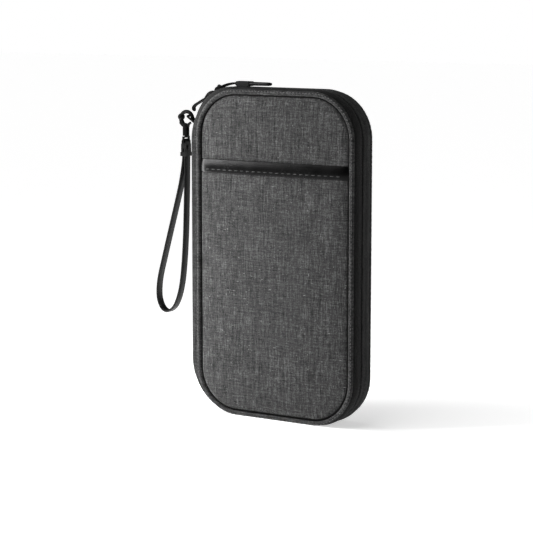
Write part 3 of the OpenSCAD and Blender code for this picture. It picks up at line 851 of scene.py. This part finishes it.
def spine():
    """One piece of fabric over both halves."""
    rows = stations("spine", 10, 70)
    half = [(11.7, 2.9), (11.4, 2.4), (10.9, 1.0), (10.3, -0.1), (9.4, -0.75), (8.2, -0.95), (6.4, -0.95),
            (4.5, -0.9), (2.6, -0.85), (1.2, -0.8)]
    rings = []
    pts = [(-y, i) for y, i in half] + [(0.0, -0.8)] + [(y, i) for y, i in reversed(half)]
    section = pts + [(y, i + 0.75) for y, i in reversed(pts)]
    for y, inset in section:
        p = along(rows, bow(abs(y)), inset)
        rings.append(np.stack([p[:, 0], np.full(len(p), y), p[:, 1]], -1))
    rings = np.stack(rings, 1)
    obj = swept("fabric_spine", rings, "spine")
    folded(obj)
    finish(obj, None, "melange_fabric", "spine_front", "spine_back")


def spine_ends():
    """Two strips of the spine's fabric that run up beside the ring's tab to the zip's upper end."""
    low, high = 180 - ZIP_END + 0.5, 180 - ZIP_END - RING_GAP - 0.4
    rows = np.array([(0, a, 0, a, 0.0) for a in np.linspace(low, high, 8)])
    outer = [(11.7, 2.9), (11.4, 2.4), (10.9, 1.0), (10.3, -0.05), (9.4, -0.65), (8.2, -0.85), (6.4, -0.85),
             (4.6, -0.8), (3.8, -0.5), (3.6, 0.1)]
    for label, side in (("rear", 1), ("fore", -1)):
        obj = swept(f"spine_end_{label}", lofted(rows, closed_section(outer, 0.75), side), "spine")
        folded(obj)
        finish(obj, None, "melange_fabric")


def zip_guard():
    """The strip behind the coil that closes the view into the case."""
    section = [(-0.95, 2.6), (0.95, 2.6), (0.95, 2.85), (-0.95, 2.85)]
    obj = swept("zip_guard_strip", lofted(ZIP_ROWS, section, 1), "tape")
    finish(obj, "back_shell", "zip_tape")


# ------------------------------------------------------------------ inside
def board(which):
    side = SIDES[which]
    y0, y1 = box_mm(f"{which}_board")[2:4]
    x, z = panel_grid(4.6, columns=36)
    face = np.full_like(x, (y0 + y1) / 2 - side * 0.9)
    obj = sheet(f"{which}_foam", np.stack([x, face, z], -1), "foam", 1.7, (0, side, 0))
    finish(obj, SHELL[which], "foam_board", f"{which}_board")


def lining(which):
    side = SIDES[which]
    face = min(abs(y) for y in box_mm(f"{which}_lining")[2:4])
    x, z = panel_grid(2.6, columns=56)
    d = np.maximum(edge_distance(x, z, 2.6), 0)
    y = side * (face + 0.15 + 0.25 * np.exp(-d / 2.5) + wavy(x, z, 31 + side, 0.12))
    obj = sheet(f"{which}_lining_cloth", np.stack([x, y, z], -1), "lining", 0.35, (0, side, 0))
    finish(obj, SHELL[which], "grey_lining", f"{which}_lining")


# How far out and up the points of a hem's section lie from the pocket's mouth
HEM = ((-0.18, -4.0), (-0.22, -2.0), (-0.2, -0.2), (0.1, 0.25), (0.42, -0.2), (0.46, -4.0), (0.1, -4.1))


def pocket_sheet(name, node, top_puff, corner, seed):
    """A flat pocket: cloth sewn at three sides, standing off at its mouth, with a bound hem."""
    x0, x1, y0, y1, z0, z1 = box_mm(node)
    side = -1 if y1 < 0 else 1
    face = min(abs(y0), abs(y1))
    zs = np.linspace(z0, z1, 40)
    s = np.linspace(-1, 1, 50)
    w = []
    for z in zs:
        cut = 0.0
        if corner and z < z0 + corner:
            cut = corner - math.sqrt(max(0.0, corner ** 2 - (z0 + corner - z) ** 2))
        w.append((x1 - x0) / 2 - cut)
    w = np.array(w)
    x = (x0 + x1) / 2 + w[:, None] * s[None, :]
    z = np.repeat(zs[:, None], len(s), 1)
    rise = ((z - z0) / (z1 - z0)) ** 3 * np.sqrt(np.maximum(0, 1 - s[None, :] ** 2))
    y = side * (face + 0.3 - top_puff * rise + wavy(x, z, seed, 0.10))
    body = SHELL["front" if side < 0 else "back"]
    obj = sheet(name, np.stack([x, y, z], -1), "pocket", 0.28, (0, side, 0))
    finish(obj, body, "grey_lining", node)
    edge = np.stack([x[-1], y[-1], z[-1]], -1)
    rings = [[(p[0], p[1] + side * out, p[2] + up) for out, up in HEM] for p in edge]
    finish(swept(f"{name}_hem", rings, "hem"), body, "grey_lining")
    places = resampled(edge + np.array([0, -side * 0.24, -3.2]), 2.4)
    dirs = np.tile([1.0, 0, 0], (len(places), 1))
    norms = np.tile([0, -float(side), 0], (len(places), 1))
    finish(capsule_row(f"{name}_stitches", places, dirs, norms, 1.6, 0.13, "thread"), body, "black_thread")


def net_pocket():
    """Mesh pocket: two crossing families of fine flat yarns, cut to the pocket's outline, and its binding."""
    x0, x1, y0, y1, z0, z1 = box_mm("mesh_pocket")
    middle_x, mid = (x0 + x1) / 2, (y0 + y1) / 2
    r = 24.0
    pitch, half_yarn, shortest = 2.6, 0.28, 1.5
    verts, faces = [], []

    def inside(x, z):
        if not (x0 <= x <= x1 and z0 <= z <= z1):
            return False
        cx = min(max(x, x0 + r), x1 - r)
        return z >= z0 + r or math.hypot(x - cx, z - (z0 + r)) <= r

    for slope in (-1, 1):
        yy = mid + 0.08 * slope
        side = np.array([-slope, 1.0]) / math.sqrt(2) * half_yarn
        for c in np.arange(z0 - 130, z1 + 130, pitch):
            run = [x for x in np.arange(x0, x1 + 0.01, 0.5) if inside(x, c + slope * (x - middle_x))]
            if len(run) < 2:
                continue
            ends = [np.array([x, c + slope * (x - middle_x)]) for x in (run[0], run[-1])]
            if np.linalg.norm(ends[1] - ends[0]) < shortest:
                continue
            base = len(verts)
            for p in ends:
                for sign, dy in ((-1, -0.07), (1, -0.07), (1, 0.07), (-1, 0.07)):
                    q = p + side * sign
                    verts.append((q[0], yy + dy, q[1]))
            faces += strip_faces(2, 4, base=base)
            faces += [(base + 3, base + 2, base + 1, base), (base + 4, base + 5, base + 6, base + 7)]
    obj = make("net_yarns", verts, faces, "mesh", smooth=False)
    finish(obj, "front_shell", "black_mesh", "mesh_pocket")
    rim = [(x0, mid, z1)]
    for cx, start in ((x0 + r, 180), (x1 - r, 270)):
        for a in np.radians(np.linspace(start, start + 90, 14)):
            rim.append((cx + r * math.cos(a), mid, z0 + r + r * math.sin(a)))
    line = resampled(np.array(rim + [(x1, mid, z1)]), 2.0)
    t = tangents(line)
    out = np.stack([t[:, 2], np.zeros(len(t)), -t[:, 0]], -1)
    section = ((-3.0, -0.3), (0.3, -0.3), (0.6, 0), (0.3, 0.3), (-3.0, 0.3))
    rings = np.stack([line + out * o + np.array([0, dy, 0]) for o, dy in section], 1)
    finish(swept("net_binding", rings, "hem"), "front_shell", "black_mesh")


def inner_zip():
    """The mesh pocket's zip: a level tape and two rows of leaning coil turns."""
    x0, x1, y0, y1, z0, z1 = box_mm("inner_zip_tape")
    mid, middle_z = (y0 + y1) / 2, (z0 + z1) / 2
    section = [(-0.3, z0), (-0.34, z0 + 2.6), (-0.3, middle_z), (-0.34, z1 - 2.6), (-0.3, z1),
               (0.28, z1), (0.3, middle_z), (0.28, z0)]
    rings = [[(x, mid - dy, z) for dy, z in section] for x in np.linspace(x0, x1, 60)]
    finish(swept("inner_tape", rings, "tape"), "front_shell", "zip_tape", "inner_zip_tape")
    x0, x1, y0, y1, z0, z1 = box_mm("inner_zip_coil")
    mid, middle_z = (y0 + y1) / 2, (z0 + z1) / 2
    turns = [(x, s) for x in np.arange(x0, x1, 1.5) for s in (-1, 1)]
    places = np.array([(x + 0.375 * s, mid, middle_z + 0.55 * s) for x, s in turns])
    dirs = np.array([(0.2, 0, float(s)) for x, s in turns])
    norms = np.tile([0, 1.0, 0], (len(places), 1))
    teeth = capsule_row("inner_coil", places, dirs, norms, 1.4, 0.38, "coil", 0.0)
    finish(teeth, "front_shell", "zip_coil", "inner_zip_coil")


# ------------------------------------------------------------------ strap
STRAP_ROUTE = [
    (-85.6, 198.4), (-85.6, 186), (-85.9, 168), (-86.4, 150), (-87, 134), (-88.3, 114),
    (-90.4, 96), (-93.4, 84), (-97.6, 75.6), (-103.4, 71.6), (-108.6, 73.6), (-111.8, 80),
    (-112.4, 88), (-111, 98.5), (-107, 113.5), (-101, 135), (-95.6, 154), (-91, 171),
    (-88.4, 184), (-87.4, 192), (-87.4, 198.4)]


def wrist_strap():
    """Flat leather loop with rounded edges and a stitched groove along each of them, on both faces."""
    p = catmull(STRAP_ROUTE, 8)
    line = np.stack([p[:, 0], np.zeros(len(p)), p[:, 1]], -1)
    t = tangents(line)
    out = np.stack([-t[:, 2], np.zeros(len(t)), t[:, 0]], -1)
    w, h = box_mm("wrist_strap")[3], 0.8
    groove = 1.1
    edge = [(w - 1.5, -h), (w - groove, -h + 0.12), (w - 0.7, -h), (w - 0.25, -h + 0.15), (w, -0.25)]
    section = [(-y, o) for y, o in reversed(edge)] + [(0, -h - 0.05)] + edge
    section = section + [(y, -o) for y, o in reversed(section)]
    rings = np.stack([line + out * o + np.array([0, y, 0]) for y, o in section], 1)
    finish(swept("strap_loop", rings, "strap"), "strap", "black_leather", "wrist_strap")
    places, dirs, norms = [], [], []
    dense = resampled(line, 2.6)
    td = tangents(dense)
    for i in range(3, len(dense) - 3):
        o = np.array([-td[i][2], 0, td[i][0]])
        for s in (-1, 1):
            for y in (-w + groove, w - groove):
                places.append(dense[i] + o * s * (h - 0.1) + np.array([0, y, 0]))
                dirs.append(td[i])
                norms.append(o * s)
    stitches = capsule_row("strap_stitches", places, dirs, norms, 1.7, 0.2, "thread_dark")
    finish(stitches, "strap", "black_thread")


# ------------------------------------------------------------------ hardware
JOINTS = frame["record"]["behaviour"]["joints"]
WIRE_PIN = next(np.array(j["pos_m"]) / MM for j in JOINTS if j["name"] == "ring_pull_b_swing")


def superellipse(half_y, half_up, power, k):
    """An oval of k points, squarer as the power rises above 2."""
    a = np.arange(k) * 2 * math.pi / k
    y, up = [np.sign(v) * np.abs(v) ** (2 / power) for v in (np.cos(a), np.sin(a))]
    return np.stack([half_y * y, half_up * up], -1)


def pill(name, slices, mat):
    """A lofted solid along X through (x, centre z, half width, half height) slices."""
    rings = [[(x, y, zc + up) for y, up in superellipse(w, h, 3.0, 20)] for x, zc, w, h in slices]
    return swept(name, rings, mat)


def leaf(name, angle, low, high, half_length, half_width, ridge):
    """A pointed metal dome lying on the corner's arc, with a soft ridge along it."""
    a = math.radians(angle)
    radial, tangent = np.array([math.cos(a), 0, math.sin(a)]), np.array([math.sin(a), 0, -math.cos(a)])
    mid, half = (low + high) / 2, (high - low) / 2
    rings = []
    for t in np.sin(np.linspace(-1, 1, 17) * math.pi / 2) * 0.992:
        share = math.sqrt(1 - t * t) ** 0.8
        at = np.array([ARC_C[0], 0, ARC_C[1]]) + tangent * (t * half_length)
        ring = []
        for y, up in superellipse(half_width * share, half * share, 2.2, 18):
            up += ridge * share * math.exp(-(y / 0.6) ** 2) * (up > 0)
            ring.append(at + radial * (mid + up - 0.5 * half * t * t) + np.array([0, y, 0]))
        rings.append(ring)
    return swept(name, rings, "metal")


def bent_wire(name, path, radius, half):
    """A closed metal wire: a cross bar at the path's start, two legs along it, and a round far end."""
    p = catmull(path, 6)
    legs = [np.array([x, -half - 0.75 * max(0.0, 1 - i / 9), z]) for i, (x, z) in enumerate(p[:-4])]
    tail = p[-5:]
    turn = []
    for a in np.linspace(-math.pi / 2, math.pi / 2, 13):
        at = np.interp(math.cos(a), [0, 1], [0, len(tail) - 1])
        x, z = [np.interp(at, range(len(tail)), tail[:, j]) for j in (0, 1)]
        turn.append(np.array([x, half * math.sin(a), z]))
    other = [q * np.array([1, -1, 1]) for q in reversed(legs)]
    bar = [np.array([p[0][0], y, p[0][1]]) for y in (half * 0.5, 0.0, -half * 0.5)]
    line = resampled(np.array(legs + turn + other + bar), 0.55, True)
    t = round_loop(line)[0]
    u = np.cross(t, np.tile([0.25, 0.3, 1.0], (len(line), 1)))
    u /= np.linalg.norm(u, axis=1, keepdims=True)
    v = np.cross(t, u)
    rings = [line + radius * (math.cos(a) * u + math.sin(a) * v) for a in np.arange(10) * math.pi / 5]
    return swept(name, np.stack(rings, 1), "metal", closed=True)


def pulls():
    """The wire ring, the sliders' domed crowns, and the moulded tab and sleeve of slider A's pull."""
    path = [(WIRE_PIN[0], WIRE_PIN[2]), (-70.6, 235.9), (-74.4, 233.9), (-77.9, 231.8),
            (-79.3, 229.8), (-78.6, 227.9)]
    finish(bent_wire("wire_pull_loop", path, 0.82, 1.35), "ring_pull_b", "dark_metal", "wire_pull")
    crown_b = leaf("slider_b_crown", 129.5, 43.2, 47.3, 5.6, 2.0, 0.25)
    finish(crown_b, "back_shell", "dark_metal")
    LIT_SOFTLY.append(crown_b)
    finish(leaf("slider_a_crown", 115.6, 44.6, 47.6, 2.0, 1.15, 0.1), "zip_slider_a", "dark_metal")
    a, b = box_mm("pull_tab")[:2]
    z = sum(box_mm("pull_tab")[4:]) / 2
    tab = [(a - 0.3, z, 2.9, 1.3), (a + 0.2, z, 3.1, 1.42), (a + 4, z, 3.0, 1.4), (a + 9, z, 3.0, 1.35),
           (b - 4, z, 3.0, 1.32), (b - 2.4, z, 2.85, 1.28), (b - 1.2, z, 2.45, 1.15), (b - 0.4, z, 1.8, 0.85),
           (b, z, 0.9, 0.4)]
    finish(pill("pull_tab_moulded", tab, "rubber"), "pull_handle", "black_rubber", "pull_tab")
    # Painted shade: a near-black patch on the tab's top stands for the shade inside its slot, which is not
    # cut
    slot = [(b - 5.2, z + 1.28, 0.4, 0.06), (b - 4.8, z + 1.3, 0.75, 0.1), (b - 3.2, z + 1.28, 0.75, 0.1),
            (b - 2.8, z + 1.22, 0.4, 0.06)]
    finish(pill("pull_tab_slot_shade", slot, "seam"), "pull_handle", "black_rubber")
    a, b = box_mm("pull_keeper")[:2]
    z = sum(box_mm("pull_keeper")[4:]) / 2
    low_z = z - 0.1
    sleeve = [(a + 0.9, z, 2.4, 1.2), (a + 1.2, z, 3.2, 1.75), (a + 2.2, low_z, 3.6, 2.0),
              (a + 4, low_z, 3.65, 2.05), (a + 6, z, 3.55, 1.85), (b - 2.2, low_z, 3.65, 2.0),
              (b - 0.8, z, 3.5, 1.8), (b + 0.05, z, 2.9, 1.4)]
    finish(pill("keeper_sleeve", sleeve, "rubber"), "pull_handle", "black_rubber")


# ------------------------------------------------------------------ hardware kept from CAD
def dressed(node, mat, bevel=0.18, segments=2):
    """A CAD node that keeps its shape: its finish, and softened edges."""
    o = frame["nodes"][node]
    o.data.materials.clear()
    o.data.materials.append(M[mat])
    if bevel:
        soft_edges = o.modifiers.new("soft_edges", "BEVEL")
        soft_edges.width = bevel * MM
        soft_edges.segments = segments
        soft_edges.limit_method = "ANGLE"
        soft_edges.angle_limit = math.radians(40)
    LIT_SOFTLY.append(o)


for which in SIDES:
    cover(which)
    piping(which)
    # Painted shade lines in the grooves on both sides of each piping
    groove_shade_line(which, "cover_seam_shade", 4.25, 13.05, 0.62, 0.9)
    groove_shade_line(which, "gusset_seam", 1.0, 11.6, 0.55)
    band(which)
    zip_half(which)
    board(which)
    lining(which)
zip_guard()
slip_pocket()
trim_binding()
trim_stitches()
spine()
spine_ends()
for name, node, top_puff, corner, seed in (
        ("sleeve", "document_sleeve", 0.3, 26, 41),
        ("cards_rear", "card_pocket_1", 0.25, 0, 42),
        ("cards_middle", "card_pocket_2", 0.25, 0, 43),
        ("cards_front", "card_pocket_3", 0.25, 0, 44),
        ("passport_rear", "passport_pocket_rear", 0.25, 22, 45),
        ("passport_front", "passport_pocket_front", 0.25, 22, 46),
        ("boarding", "boarding_pocket", 0.4, 0, 47)):
    pocket_sheet(name, node, top_puff, corner, seed)
net_pocket()
inner_zip()
wrist_strap()
pulls()
for node in ("slider_a", "slider_b", "d_ring", "snap_hook", "hook_gate", "swivel_eye", "zip_stops",
             "inner_slider"):
    dressed(node, "metal")
for node in ("gate_pin", "strap_rivet"):
    dressed(node, "metal_pin", 0.12)
dressed("pull_keeper", "rubber", 0.4, 3)
dressed("pull_link", "cord", 0)
dressed("ring_tab", "tape", 0.15)
dressed("strap_tab", "strap", 0.35, 3)
dressed("strap_keeper", "strap", 0.25, 3)
dressed("inner_pull", "leather", 0.2)


# The key light falls on the two halves of the case; the parts beside them take the other lights only
apart = bpy.data.collections.new("soft_light_only")
key.light_linking.receiver_collection = apart
for o in LIT_SOFTLY:
    apart.objects.link(o)
for member in apart.collection_objects:
    member.light_linking.link_state = "EXCLUDE"


# ------------------------------------------------------------------ floor
def floor():
    """A pale floor that glows a little, so that it meets the white surroundings without a line."""
    me = bpy.data.meshes.new("floor")
    corners = [(-6, -6, 0), (6, -6, 0), (6, 6, 0), (-6, 6, 0)]
    me.from_pydata(corners, [], [(0, 1, 2, 3)])
    obj = bpy.data.objects.new("floor", me)
    bpy.context.scene.collection.objects.link(obj)
    mat = bpy.data.materials.new("pale_floor")
    mat.use_nodes = True
    bsdf = mat.node_tree.nodes["Principled BSDF"]
    bsdf.inputs["Base Color"].default_value = (0.86, 0.86, 0.86, 1)
    bsdf.inputs["Roughness"].default_value = 0.9
    bsdf.inputs["Specular IOR Level"].default_value = 0.1
    bsdf.inputs["Emission Color"].default_value = (1, 1, 1, 1)
    bsdf.inputs["Emission Strength"].default_value = GLOW
    me.materials.append(mat)


floor()
